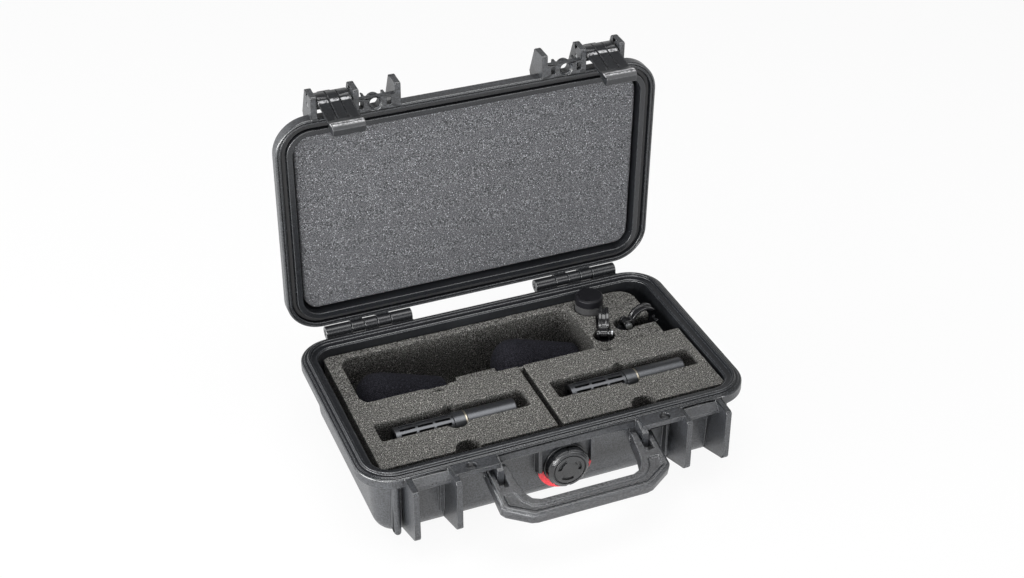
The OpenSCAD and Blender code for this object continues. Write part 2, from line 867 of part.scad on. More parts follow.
module mic_collar() {
  translate([0, 0, mic_tube_l + 0.3])
    difference() {
      union() {
        cylinder(d = mic_d, h = mic_collar_l - 2, $fn = 48);
        translate([0, 0, mic_collar_l - 2 - eps])
          cylinder(d = mic_d - 0.6, h = 1.4, $fn = 48);
      }
      translate([0, 0, -1])
        cylinder(d = mic_d - 3.6, h = 20, $fn = 48);
    }
}

module mic_body() {
  z0 = mic_tube_l + mic_collar_l;
  difference() {
    union() {
      translate([0, 0, z0])
        cylinder(d = mic_d - 0.4, h = mic_l - z0 - 1, $fn = 48);
      translate([0, 0, mic_l - 1 - eps])
        cylinder(d1 = mic_d - 0.4, d2 = mic_d - 2, h = 1, $fn = 48);
      translate([0, 0, z0 - 3.8])
        cylinder(d = mic_d - 4.4, h = 4, $fn = 48);
    }
    translate([0, 0, mic_l - 12])
      cylinder(d = mic_d - 4, h = 20, $fn = 48);
  }
}

// Three-pole connector insert in the tail of the body.
module mic_plug() {
  translate([0, 0, mic_l - 11.6]) {
    cylinder(d = mic_d - 4.8, h = 4, $fn = 48);
    for (a = [0, 120, 240])
      rotate([0, 0, a])
        translate([3.6, 0, 3])
          cylinder(r = 1, h = 7.4, $fn = 20);
  }
}

module mic_left_tube() {
  color("#3a3d41")
  at_mic(mic_left_x)
    mic_tube();
}

module mic_left_grid() {
  color("#202122")
  at_mic(mic_left_x)
    mic_grid();
}

module mic_left_collar() {
  color("#3a3d41")
  at_mic(mic_left_x)
    mic_collar();
}

module mic_left_body() {
  color("#3f4347")
  at_mic(mic_left_x)
    mic_body();
}

module mic_left_plug() {
  color("#8f8f8f")
  at_mic(mic_left_x)
    mic_plug();
}

module mic_right_tube() {
  color("#3a3d41")
  at_mic(mic_right_x)
    mic_tube();
}

module mic_right_grid() {
  color("#202122")
  at_mic(mic_right_x)
    mic_grid();
}

module mic_right_collar() {
  color("#3a3d41")
  at_mic(mic_right_x)
    mic_collar();
}

module mic_right_body() {
  color("#3f4347")
  at_mic(mic_right_x)
    mic_body();
}

module mic_right_plug() {
  color("#8f8f8f")
  at_mic(mic_right_x)
    mic_plug();
}

// ---------------------------------------------------------------- windscreens

// Foam windscreen: a blunt round nose, then a taper to the open end, with a bore for
// the microphone. It leans by its taper, so that it lies on its side.
module screen_shape() {
  r = screen_r;
  n = screen_nose;
  e = screen_l - n;
  rotate_extrude($fn = 48)
    difference() {
      polygon(concat([for (a = [0:7.5:90]) [r * sin(a), -n * cos(a)]],
        [[r, 6], [screen_end_r, e - 1.6], [screen_end_r - 1.6, e], [0, e]]));
      translate([-1, 2])
        square([mic_d / 2 - 0.3 + 1, screen_l]);
    }
}

module screen_at(x, y) {
  translate([x + screen_nose, y, screen_z])
    rotate([0, 90 + screen_lean, 0])
      screen_shape();
}

module screen_left() {
  color("#17181f")
  screen_at(screen_left_x, screen_left_y);
}

module screen_right() {
  color("#17181f")
  screen_at(screen_right_x, screen_right_y);
}

// ---------------------------------------------------------------- clips

// Spring ring of a microphone clip, standing in the XZ plane with its mouth to the side.
module clip_ring() {
  difference() {
    union() {
      rotate([90, 0, 0])
        translate([0, 0, -4])
          cylinder(r = clip_r, h = 8, $fn = 56);
      translate([-clip_pin_x, -2.9, -2.6])
        cube([5, 5.8, 5.2]);
      translate([-clip_pin_x, -2.9, 0])
        rotate([-90, 0, 0])
          cylinder(r = 2.6, h = 5.8, $fn = 32);
    }
    rotate([90, 0, 0])
      translate([0, 0, -6])
        cylinder(r = clip_r - 2.2, h = 12, $fn = 56);
    // shallow channel between the two raised edges
    rotate([90, 0, 0])
      translate([0, 0, -1.6])
        difference() {
          cylinder(r = clip_r + 1.4, h = 3.2, $fn = 56);
          translate([0, 0, -1])
            cylinder(r = clip_r - 1, h = 6, $fn = 56);
          translate([-18, -3.4, -1])
            cube([9, 6.8, 6]);
        }
    // mouth that snaps over the microphone
    rotate([0, -20, 0])
      translate([2, -6, -5.4])
        cube([14, 12, 10.8]);
    translate([-clip_pin_x, -6, 0])
      rotate([-90, 0, 0])
        cylinder(r = 1.55, h = 12, $fn = 32);
  }
}

// Threaded foot with the two ears that take the ring's lug.
module clip_foot() {
  difference() {
    union() {
      translate([-clip_foot_x, 0, -17])
        cylinder(r1 = 6.2, r2 = 6.6, h = 9, $fn = 40);
      translate([-clip_foot_x, 0, -8 - eps])
        cylinder(r1 = 6.6, r2 = 5.4, h = 3, $fn = 40);
      for (s = [-1, 1]) {
        translate([-clip_pin_x - 3, s * 4.3 - 1, -8])
          cube([5.6, 2, 8]);
        translate([-clip_pin_x, s * 4.3 - 1, 0])
          rotate([-90, 0, 0])
            cylinder(r = 3, h = 2, $fn = 32);
      }
    }
    translate([-clip_foot_x, 0, -18])
      cylinder(r = 4, h = 7, $fn = 40);
    translate([-clip_pin_x - 9, -3.3, -3.6])
      cube([13, 6.6, 12]);
    translate([-clip_pin_x, -8, 0])
      rotate([-90, 0, 0])
        cylinder(r = 1.55, h = 16, $fn = 32);
  }
}

module clip_screw() {
  translate([-clip_pin_x, -5.6, 0])
    rotate([-90, 0, 0])
      cylinder(r = 1.5, h = 11, $fn = 32);
  translate([-clip_pin_x, -6.9, 0])
    rotate([-90, 0, 0])
      cylinder(r = 2.6, h = 1.5, $fn = 32);
}

module clip_left_place() {
  translate([half_l - 62.6, half_w - 51.4, rim_z - 6.8])
    rotate([0, 0, -22])
      children();
}

module clip_right_place() {
  translate([half_l - 31.4, half_w - 58.2, rim_z - 6.9])
    children();
}

// The left clip stands edge-on to the viewer, its foot hanging below its lug.
module clip_left_turn() {
  clip_left_place()
    rotate([0, 0, 90])
      children();
}

module clip_left_ring() {
  color("#1b1c1e")
  clip_left_turn()
    clip_ring();
}

module clip_left_foot() {
  color("#1b1c1e")
  clip_left_turn()
    clip_foot();
}

module clip_left_screw() {
  color("#1b1c1e")
  clip_left_turn()
    clip_screw();
}

module clip_right_ring() {
  color("#1b1c1e")
  clip_right_place()
    clip_ring();
}

module clip_right_foot() {
  color("#1b1c1e")
  clip_right_place()
    clip_foot();
}

module clip_right_screw() {
  color("#1b1c1e")
  clip_right_place()
    clip_screw();
}

// Closed round cap: a plain foot and a cover over it, parted by a fine joint line.
module adapter_cap() {
  color("#1b1c1e")
  translate([cap_x, cap_y, 0]) {
    translate([0, 0, 26])
      cylinder(r = cap_r - 0.5, h = cap_top - 34, $fn = 48);
    translate([0, 0, 26])
      cylinder(r = cap_r - 0.1, h = cap_top - 33.2, $fn = 48);
    translate([0, 0, cap_top - 6.6])
      cylinder(r = cap_r, h = 5.4, $fn = 48);
    translate([0, 0, cap_top - 7.4])
      cylinder(r = cap_r - 0.5, h = 1, $fn = 48);
    translate([0, 0, cap_top - 1.2 - eps])
      cylinder(r1 = cap_r, r2 = cap_r - 1.2, h = 1.2, $fn = 48);
  }
}

base_shell();
lid_shell();
lid_gasket();
hinge_pins();
latch_left();
latch_right();
latch_pins();
handle();
handle_pins();
valve_body();
valve_seal();
valve_knob();
valve_label();
lid_foam();
base_pad();
rear_foam();
block_left();
block_right();
mic_left_tube();
mic_left_grid();
mic_left_collar();
mic_left_body();
mic_left_plug();
mic_right_tube();
mic_right_grid();
mic_right_collar();
mic_right_body();
mic_right_plug();
screen_left();
screen_right();
clip_left_ring();
clip_left_foot();
clip_left_screw();
clip_right_ring();
clip_right_foot();
clip_right_screw();
adapter_cap();
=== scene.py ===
import math

import bmesh
import bpy
from mathutils import Matrix, Vector, noise


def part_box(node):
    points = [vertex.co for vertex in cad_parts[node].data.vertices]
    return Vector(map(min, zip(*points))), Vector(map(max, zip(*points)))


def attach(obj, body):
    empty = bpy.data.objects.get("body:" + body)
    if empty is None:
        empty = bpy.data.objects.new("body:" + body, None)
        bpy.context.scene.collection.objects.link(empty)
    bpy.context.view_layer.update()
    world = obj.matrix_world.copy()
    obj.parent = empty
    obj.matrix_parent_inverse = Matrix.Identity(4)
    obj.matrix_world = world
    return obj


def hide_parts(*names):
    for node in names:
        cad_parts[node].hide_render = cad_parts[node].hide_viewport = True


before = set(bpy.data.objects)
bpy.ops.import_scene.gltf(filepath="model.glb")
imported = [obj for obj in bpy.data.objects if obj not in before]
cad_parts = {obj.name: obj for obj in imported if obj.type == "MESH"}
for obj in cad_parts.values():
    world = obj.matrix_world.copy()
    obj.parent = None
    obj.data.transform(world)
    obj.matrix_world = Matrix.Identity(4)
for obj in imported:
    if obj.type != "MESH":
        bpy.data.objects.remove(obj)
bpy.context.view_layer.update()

scene = bpy.context.scene
scene.view_settings.view_transform = "Standard"


# ============================================================ the set
# The case stands on a white sweep, seen from above and the front left by a medium lens. A
# large soft box hangs overhead and low ones stand in front and to the left. Glossy faces
# mirror the sweep and the dimmer room above it.

VIEW_FROM = Vector((-0.3754, -0.9150, 0.7852))
VIEW_TURN = math.radians(-21.997)
VIEW_DOWN = math.radians(33.360)
VIEW_ROLL = math.radians(-0.126)

lens = bpy.data.cameras.new("view")
lens.sensor_width = 36.0
lens.lens = 58.2
lens.clip_start = 0.05
camera = bpy.data.objects.new("view", lens)
camera.matrix_world = (
    Matrix.Translation(VIEW_FROM)
    @ Matrix.Rotation(VIEW_TURN, 4, "Z")
    @ Matrix.Rotation(math.pi / 2 - VIEW_DOWN, 4, "X")
    @ Matrix.Rotation(VIEW_ROLL, 4, "Z")
)
scene.collection.objects.link(camera)
scene.camera = camera


def node(tree, kind, inputs=None, **settings):
    """Adds a node, sets it up and joins or fills its inputs."""
    made = tree.nodes.new(kind)
    for key, value in settings.items():
        setattr(made, key, value)
    for key, value in (inputs or {}).items():
        if isinstance(value, bpy.types.NodeSocket):
            tree.links.new(value, made.inputs[key])
        else:
            made.inputs[key].default_value = value
    return made


def arithmetic(tree, operation, *values):
    """One sum on sockets or numbers."""
    return node(tree, "ShaderNodeMath", dict(enumerate(values)), operation=operation).outputs[0]


def spread(tree, value, low, high, least=0.0, most=1.0):
    """Maps low..high onto least..most and holds it at both ends."""
    return node(tree, "ShaderNodeMapRange", {"Value": value, "From Min": low,
        "From Max": high, "To Min": least, "To Max": most}).outputs[0]


def cleared(owner):
    """The empty node tree of a world or a material."""
    owner.use_nodes = True
    owner.node_tree.nodes.clear()
    return owner.node_tree


for name, place, aim, size, watts in (
        ("overhead_box", (0.0, -0.2, 1.7), (0.0, 0.0, 0.1), (1.6, 1.2), 24.0),
        ("left_box", (-1.6, -0.2, 0.3), (0.0, -0.1, 0.05), (1.2, 0.5), 27.0),
        ("front_left_box", (-1.2, -1.5, 0.25), (0.0, -0.1, 0.05), (1.2, 0.4), 28.0),
        ("front_box", (-0.3, -1.8, 0.35), (0.0, -0.1, 0.05), (1.0, 0.5), 8.0),
        ("rear_left_box", (-1.3, 0.9, 1.0), (0.0, 0.0, 0.1), (1.0, 1.0), 6.0),
        ("right_box", (0.9, -1.5, 0.7), (0.0, 0.0, 0.1), (1.0, 0.6), 5.0)):
    lamp = bpy.data.lights.new(name, "AREA")
    lamp.shape = "RECTANGLE"
    lamp.size, lamp.size_y = size
    lamp.energy = watts
    box = bpy.data.objects.new(name, lamp)
    box.location = place
    box.rotation_euler = (Vector(aim) - Vector(place)).to_track_quat("-Z", "Y").to_euler()
    scene.collection.objects.link(box)

ROOM_LIGHT = 0.06
ROOM_MIRRORED = 0.15    # the room overhead, as glossy faces mirror it
WHITE = (1.0, 1.0, 1.0, 1.0)

sky = bpy.data.worlds.new("studio")
scene.world = sky
tree = cleared(sky)
ray = node(tree, "ShaderNodeLightPath")
way = node(tree, "ShaderNodeSeparateXYZ", {0: node(tree, "ShaderNodeTexCoord").outputs[0]})
climb = spread(tree, way.outputs["Z"], 0.1, 0.75, 1.0, ROOM_MIRRORED)
lit = node(tree, "ShaderNodeBackground", {"Color": (0.95, 0.97, 1.0, 1.0),
    "Strength": ROOM_LIGHT})
mirrored = node(tree, "ShaderNodeBackground", {"Strength": climb})
white = node(tree, "ShaderNodeBackground", {"Color": WHITE, "Strength": 1.0})
gleam = node(tree, "ShaderNodeMixShader", {0: ray.outputs["Is Glossy Ray"],
    1: lit.outputs[0], 2: mirrored.outputs[0]})
pick = node(tree, "ShaderNodeMixShader", {0: ray.outputs["Is Camera Ray"],
    1: gleam.outputs[0], 2: white.outputs[0]})
node(tree, "ShaderNodeOutputWorld", {"Surface": pick.outputs[0]})

SWEEP_REACH = 14.0
SWEEP_GLOW = 0.91    # the part of the sweep that is plain white to the camera, so shadows stay

sweep_mesh = bpy.data.meshes.new("sweep")
sweep_mesh.from_pydata([(x * SWEEP_REACH, y * SWEEP_REACH, 0)
    for x, y in ((-1, -1), (1, -1), (1, 1), (-1, 1))], [], [(0, 1, 2, 3)])
sweep = bpy.data.objects.new("sweep", sweep_mesh)
scene.collection.objects.link(sweep)
paper = bpy.data.materials.new("white_paper")
tree = cleared(paper)
ray = node(tree, "ShaderNodeLightPath")
matt = node(tree, "ShaderNodeBsdfDiffuse", {"Color": (0.88, 0.88, 0.88, 1.0)})
glow = node(tree, "ShaderNodeEmission", {"Color": WHITE, "Strength": 1.0})
seen = arithmetic(tree, "MAXIMUM", ray.outputs["Is Camera Ray"], ray.outputs["Is Glossy Ray"])
mixed = node(tree, "ShaderNodeMixShader", {0: arithmetic(tree, "MULTIPLY", seen, SWEEP_GLOW),
    1: matt.outputs[0], 2: glow.outputs[0]})
node(tree, "ShaderNodeOutputMaterial", {"Surface": mixed.outputs[0]})
sweep_mesh.materials.append(paper)


# ============================================================ case: base and lid
# Two deep shells of black polymer, injection moulded in one piece with their guards, shelves
# and hinge knuckles. Every outer face has a fine stipple. The sealing faces and the knuckles
# come smooth and glossier out of the mould. The walls that face into each shell get a darker
# colour, painted shade for the depth of the well.

def opened(mat):
    """A material's tree, its shader and the piece's own coordinates."""
    tree = mat.node_tree
    at = node(tree, "ShaderNodeTexCoord").outputs["Object"]
    return tree, tree.nodes["Principled BSDF"], at


def finish(name):
    """A new material, followed by what opened() gives of it."""
    mat = bpy.data.materials.new(name)
    mat.use_nodes = True
    return mat, *opened(mat)


def noise_in(tree, at, scale, detail, rough=0.5):
    """Soft noise, with its scale in cycles to the metre."""
    return node(tree, "ShaderNodeTexNoise", {"Vector": at, "Scale": scale, "Detail": detail,
        "Roughness": rough}).outputs[0]


def drawn_out(tree, at, scale):
    """Coordinates scaled axis by axis: a noise on them runs in lines along the least."""
    return node(tree, "ShaderNodeMapping", {"Vector": at, "Scale": scale}).outputs[0]


def painted(tree, skin, colour, tone):
    """The shader's colour, made lighter and darker by tone."""
    paint = node(tree, "ShaderNodeVectorMath", {0: colour, "Scale": tone}, operation="SCALE")
    tree.links.new(paint.outputs[0], skin.inputs["Base Color"])


def embossed(tree, skin, height, strength, depth):
    """Adds relief to the shader, over any that it already has."""
    inputs = {"Height": height, "Strength": strength, "Distance": depth}
    for link in skin.inputs["Normal"].links:
        inputs["Normal"] = link.from_socket
    bump = node(tree, "ShaderNodeBump", inputs)
    tree.links.new(bump.outputs[0], skin.inputs["Normal"])


PATCHES = 22.0
FLOW_MARKS = (14.0, 260.0, 420.0)


def moulded(name, colour, rough, grain, relief, cloud=0.10, speck=0.30, streak=0.0,
        shine=0.5):
    """Stippled or satin moulded polymer.

    grain: the stipple's scale, and relief its strength. cloud, speck and streak: how much
    broad patches, the stipple and flow marks change the tone. shine: the specular level.
    """
    mat, tree, skin, at = finish(name)
    skin.inputs["Specular IOR Level"].default_value = shine
    stipple = noise_in(tree, at, grain, detail=2.0, rough=0.6)
    broad = noise_in(tree, at, PATCHES, detail=4.0, rough=0.6)
    flow = noise_in(tree, drawn_out(tree, at, FLOW_MARKS), 1.0, detail=4.0, rough=0.7)
    tone = spread(tree, broad, 0.3, 0.7, 1.0 - cloud, 1.0 + cloud)
    grit = spread(tree, stipple, 0.38, 0.62, 1.0 - speck, 1.0 + speck)
    smear = spread(tree, flow, 0.35, 0.7, 1.0 - streak * 0.5, 1.0 + streak)
    both = arithmetic(tree, "MULTIPLY", arithmetic(tree, "MULTIPLY", tone, grit), smear)
    painted(tree, skin, colour, both)
    gloss = spread(tree, broad, 0.25, 0.75, rough - 0.05, rough + 0.06)
    tree.links.new(gloss, skin.inputs["Roughness"])
    embossed(tree, skin, stipple, relief, depth=0.0008)
    return mat


WELD = 2e-5
SLIVER = 2e-6
LEVEL = math.radians(0.5)


def merged(cad):
    """A clean mesh of a CAD node: doubles joined and flat triangles paired."""
    bm = bmesh.new()
    bm.from_mesh(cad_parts[cad].data)
    bmesh.ops.remove_doubles(bm, verts=bm.verts, dist=WELD)
    bmesh.ops.join_triangles(bm, faces=bm.faces, angle_face_threshold=LEVEL,
        angle_shape_threshold=math.pi)
    bm.verts.index_update()
    points = [v.co.copy() for v in bm.verts]
    faces = [[v.index for v in f.verts] for f in bm.faces]
    bm.free()
    mesh = bpy.data.meshes.new(cad + "_form")
    mesh.from_pydata(points, [], faces)
    mesh.validate()
    return mesh


def settled(piece):
    """Applies a piece's modifiers and leaves it a plain mesh of its own name."""
    bpy.context.view_layer.update()
    done = bpy.data.meshes.new_from_object(
        piece.evaluated_get(bpy.context.evaluated_depsgraph_get()))
    piece.modifiers.clear()
    piece.data = done
    done.name = piece.name
    return done


def held_in(mesh, cad):
    """Puts points that the rounding pushed out of the CAD node's box back on its faces."""
    points = [v.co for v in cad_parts[cad].data.vertices]
    for axis in range(3):
        least = min(p[axis] for p in points)
        most = max(p[axis] for p in points)
        for v in mesh.vertices:
            v.co[axis] = min(max(v.co[axis], least), most)


def eased(name, cad, body, mat, width=0.0004, steps=2, angle=30, zones=(), edge=None):
    """The CAD form with its moulded edges rounded over, in place of the bare node.

    zones: (test of a face's centre and normal, material) for parts with another finish, or
    with a darker colour as painted shade.
    edge: the finish of the rounded edges: glossier where handling has polished them, and on
    some pieces paler too, as a painted highlight.
    """
    mesh = merged(cad)
    mesh.shade_smooth()
    mesh.set_sharp_from_angle(angle=math.radians(angle))
    piece = bpy.data.objects.new(name, mesh)
    scene.collection.objects.link(piece)
    mesh.materials.append(mat)
    for index, (test, other) in enumerate(zones, 1):
        mesh.materials.append(other)
        for face in mesh.polygons:
            if test(face.center, face.normal):
                face.material_index = index
    round_over = piece.modifiers.new("round_over", "BEVEL")
    round_over.width = width
    round_over.segments = steps
    round_over.limit_method = "ANGLE"
    round_over.angle_limit = math.radians(angle)
    round_over.use_clamp_overlap = False
    round_over.harden_normals = True
    round_over.miter_outer = "MITER_ARC"
    if edge:
        mesh.materials.append(edge)
        round_over.material = len(mesh.materials) - 1
    done = settled(piece)
    held_in(done, cad)
    bm = bmesh.new()
    bm.from_mesh(done)
    bmesh.ops.dissolve_degenerate(bm, dist=SLIVER, edges=bm.edges)
    bm.to_mesh(done)
    bm.free()
    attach(piece, body)
    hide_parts(cad)


HINGE = Vector((0.0, 0.0950, 0.0662))
LID_OPEN = math.radians(88.0)
shut = Matrix.Rotation(LID_OPEN, 4, "X")
shut_move = HINGE - shut @ HINGE

KNUCKLE_RADIUS = 0.0054
RIM_HALF, RIM_FROM = (0.1472, 0.0884), 0.0638
LID_RIM_HALF, LID_RIM_TO = (0.1474, 0.0886), 0.0705
WELL_HALF, WELL_FROM, LID_WELL_FROM = (0.1425, 0.0838), 0.006, 0.068
WALLS_AT = (0.140, 0.080)
TILT = -0.2


def when_shut(point):
    """Where a point of the open lid lies once it is shut."""
    return shut @ point + shut_move


def within(p, half):
    return abs(p.x) < half[0] and abs(p.y) < half[1]


def faces_in(p, n):
    """Whether a wall's face looks towards the middle of the case."""
    return n.x * p.x / WALLS_AT[0] + n.y * p.y / WALLS_AT[1] < TILT


def at_hinge(c, n):
    return math.hypot(c.y - HINGE.y, c.z - HINGE.z) < KNUCKLE_RADIUS


def on_rim(c, n):
    return c.z > RIM_FROM and within(c, RIM_HALF) and n.z > TILT


def on_lid_rim(c, n):
    p = when_shut(c)
    return p.z < LID_RIM_TO and within(p, LID_RIM_HALF)


def in_well(c, n):
    return faces_in(c, n) and within(c, WELL_HALF) and c.z > WELL_FROM


def in_lid_well(c, n):
    p = when_shut(c)
    return faces_in(p, shut.to_3x3() @ n) and within(p, WELL_HALF) and p.z > LID_WELL_FROM


shell_black = moulded("shell_black", (0.029, 0.031, 0.035), rough=0.38, grain=900.0,
    relief=0.3, cloud=0.12, speck=0.75, streak=0.2, shine=0.95)
shell_smooth = moulded("shell_smooth", (0.013, 0.014, 0.016), rough=0.24, grain=1500.0,
    relief=0.05, cloud=0.08, speck=0.2, streak=0.25, shine=0.6)
# The walls that face into each shell get a darker colour here: painted shade for the depth of
# the well.
shell_well_shade = moulded("shell_well_shade", (0.012, 0.013, 0.015), rough=0.32, grain=900.0,
    relief=0.08, cloud=0.2, speck=0.2, streak=0.4)
shell_edge = moulded("shell_edge", (0.026, 0.028, 0.031), rough=0.25, grain=900.0,
    relief=0.1, cloud=0.15, speck=0.5, shine=1.0)
for name, cad, body, well, rim in (("base_housing", "base_shell", "base", in_well, on_rim),
        ("lid_housing", "lid_shell", "lid", in_lid_well, on_lid_rim)):
    eased(name, cad, body, shell_black, width=0.0005, edge=shell_edge,
        zones=((well, shell_well_shade), (rim, shell_smooth), (at_hinge, shell_smooth)))


# ============================================================ seal and pins
# A soft cord of rubber lies in the lid's groove. Plain ground steel pins run through the
# knuckles, the latches and the handle. The hinge pins are blued.

GRINDING = (90.0, 2600.0, 2600.0)


def ground_steel(name, colour, rough):
    """Steel with fine grinding lines along the piece."""
    mat, tree, skin, at = finish(name)
    skin.inputs["Metallic"].default_value = 1.0
    lines = noise_in(tree, drawn_out(tree, at, GRINDING), 1.0, detail=3.0)
    painted(tree, skin, colour, spread(tree, lines, 0.3, 0.7, 0.8, 1.15))
    gloss = spread(tree, lines, 0.3, 0.7, rough, rough + 0.15)
    tree.links.new(gloss, skin.inputs["Roughness"])
    return mat


seal_black = moulded("seal_black", (0.016, 0.016, 0.017), rough=0.62, grain=1500.0,
    relief=0.12, cloud=0.05, speck=0.2)
pin_steel = ground_steel("pin_steel", (0.45, 0.46, 0.47), rough=0.28)
blued_steel = ground_steel("blued_steel", (0.05, 0.05, 0.055), rough=0.32)
eased("lid_seal", "lid_gasket", "lid", seal_black, width=0.0003, steps=3)
for cad, body, steel in (("hinge_pins", "base", blued_steel),
        ("handle_pins", "base", pin_steel), ("latch_pins", "lid", pin_steel)):
    eased(cad + "_ground", cad, body, steel, width=0.0003)


# ============================================================ latches
# Each latch is one satin moulding: a barrel on the pin, a bowed lever parted in three bands,
# a hook under it and a flared lip to lift it by. The two folds get a paler, glossier colour:
# a painted highlight.

TOP_FOLD = (0.0672, 0.0020, -0.0990)
LIP_FOLD = (0.0374, 0.0034, -0.0980)
HIGHLIGHT_FADE = 0.0008


def fold_highlight(mat, folds, colour, rough):
    """Mixes a painted highlight, paler and glossier, into mat along folds, given as they lie
    with the lid shut: (height, half width, the outermost depth that still has the highlight)."""
    tree, skin, at = opened(mat)
    turned = node(tree, "ShaderNodeMapping", {"Vector": at, "Rotation": (LID_OPEN, 0.0, 0.0),
        "Location": shut_move})
    axes = node(tree, "ShaderNodeSeparateXYZ", {0: turned.outputs[0]}).outputs
    patchy = noise_in(tree, at, 420.0, detail=3.0, rough=0.7)
    total = 0.0
    for height, half, depth in folds:
        off = arithmetic(tree, "SUBTRACT", axes["Z"], height)
        away = arithmetic(tree, "ABSOLUTE", off)
        band = spread(tree, away, half, half * 0.5)
        outer = spread(tree, axes["Y"], depth, depth - HIGHLIGHT_FADE)
        one = arithmetic(tree, "MULTIPLY", band, outer)
        total = arithmetic(tree, "MAXIMUM", total, one)
    highlight_mask = arithmetic(tree, "MULTIPLY", total, spread(tree, patchy, 0.36, 0.56))
    for socket, kind, value in (("Base Color", "RGBA", (*colour, 1.0)),
            ("Roughness", "FLOAT", rough)):
        old = skin.inputs[socket].links[0].from_socket
        mix = node(tree, "ShaderNodeMix", {"Factor": highlight_mask}, data_type=kind)
        a, b = [s for s in mix.inputs if s.name in "AB" and s.enabled]
        tree.links.new(old, a)
        b.default_value = value
        tree.links.new([s for s in mix.outputs if s.enabled][0], skin.inputs[socket])
    return mat


# The latch's folds get a painted highlight: a pale grey, glossier colour along them.
latch_black = fold_highlight(moulded("latch_black", (0.012, 0.013, 0.015), rough=0.27, grain=900.0,
    relief=0.25, cloud=0.1, speck=0.3, streak=0.15, shine=0.7),
    (TOP_FOLD, LIP_FOLD), (0.60, 0.60, 0.61), rough=0.3)
# The latch's rounded edges get a paler colour: a painted highlight along them.
latch_edge_highlight = moulded("latch_edge_highlight", (0.030, 0.031, 0.034), rough=0.26, grain=900.0,
    relief=0.1, cloud=0.15, speck=0.5, shine=0.8)
for side in ("left", "right"):
    eased("toggle_" + side, "latch_" + side, "latch_" + side, latch_black,
        angle=24, edge=latch_edge_highlight)


# ============================================================ handle
# A thick U of satin polymer on two pins. Its arms fork around the case's brackets. The grip
# has a panel with a leathery grain let into its face, and its outer edge is well rounded.

HANDLE_PIN = Vector((0.0, -0.0920, 0.0512))
HANDLE_DROOP = math.radians(14.7)


def panelled(mat, low, high, relief):
    """Adds a coarser leathery relief to mat between two heights of the handle's own plane."""
    tree, skin, at = opened(mat)
    level = Matrix.Rotation(-HANDLE_DROOP, 4, "X")
    turned = node(tree, "ShaderNodeMapping", {"Vector": at,
        "Rotation": (-HANDLE_DROOP, 0.0, 0.0), "Location": -(level @ HANDLE_PIN)})
    up = node(tree, "ShaderNodeSeparateXYZ", {0: turned.outputs[0]}).outputs["Z"]
    over = arithmetic(tree, "GREATER_THAN", up, low)
    under = arithmetic(tree, "LESS_THAN", up, high)
    inside = arithmetic(tree, "MULTIPLY", over, under)
    hide = node(tree, "ShaderNodeTexVoronoi", {"Vector": at, "Scale": 1500.0},
        feature="SMOOTH_F1")
    pores = arithmetic(tree, "MULTIPLY", hide.outputs["Distance"], inside)
    embossed(tree, skin, pores, relief, depth=0.0003)
    return mat


handle_black = panelled(moulded("handle_black", (0.027, 0.028, 0.031), rough=0.31,
    grain=850.0, relief=0.42, cloud=0.08, speck=0.8, shine=0.85),
    low=0.0038, high=0.0046, relief=0.6)
# The handle's rounded edges get a paler, slightly glossier colour: a painted highlight along
# them.
handle_edge = moulded("handle_edge", (0.044, 0.046, 0.050), rough=0.28, grain=850.0,
    relief=0.3, cloud=0.1, speck=0.5, shine=0.95)
eased("carry_handle", "handle", "handle", handle_black, width=0.0009,
    steps=3, edge=handle_edge)


# ============================================================ pressure valve
# A threaded body through the front wall with a rubber ring, a turned knob with slots in its
# face, and a crescent of red film on the seat below it, without any print.

VALVE_MIDDLE = (0.0005, 0.0380)


def spun(mat, middle, pitch, relief):
    """Adds fine turning rings to mat, about an axis that runs front to back."""
    tree, skin, at = opened(mat)
    flat = node(tree, "ShaderNodeMapping", {"Vector": at,
        "Location": (-middle[0], 0.0, -middle[1]), "Scale": (1.0, 0.0, 1.0)})
    radius = node(tree, "ShaderNodeVectorMath", {0: flat.outputs[0]},
        operation="LENGTH").outputs["Value"]
    phase = arithmetic(tree, "MULTIPLY", radius, math.tau / pitch)
    embossed(tree, skin, arithmetic(tree, "SINE", phase), relief, depth=0.00015)
    return mat


valve_black = spun(moulded("valve_black", (0.018, 0.019, 0.021), rough=0.22, grain=1200.0,
    relief=0.15, cloud=0.08, speck=0.3, shine=0.95), VALVE_MIDDLE, pitch=0.0011, relief=0.35)
label_red = moulded("label_red", (0.78, 0.045, 0.06), rough=0.34, grain=900.0, relief=0.03,
    cloud=0.04, speck=0.1)
eased("valve_stem", "valve_body", "base", valve_black, width=0.0002)
eased("valve_ring", "valve_seal", "base", seal_black, width=0.0003, steps=3)
eased("valve_cap", "valve_knob", "valve_knob", valve_black, width=0.0003)
eased("valve_film", "valve_label", "base", label_red, width=0.0001, steps=1)
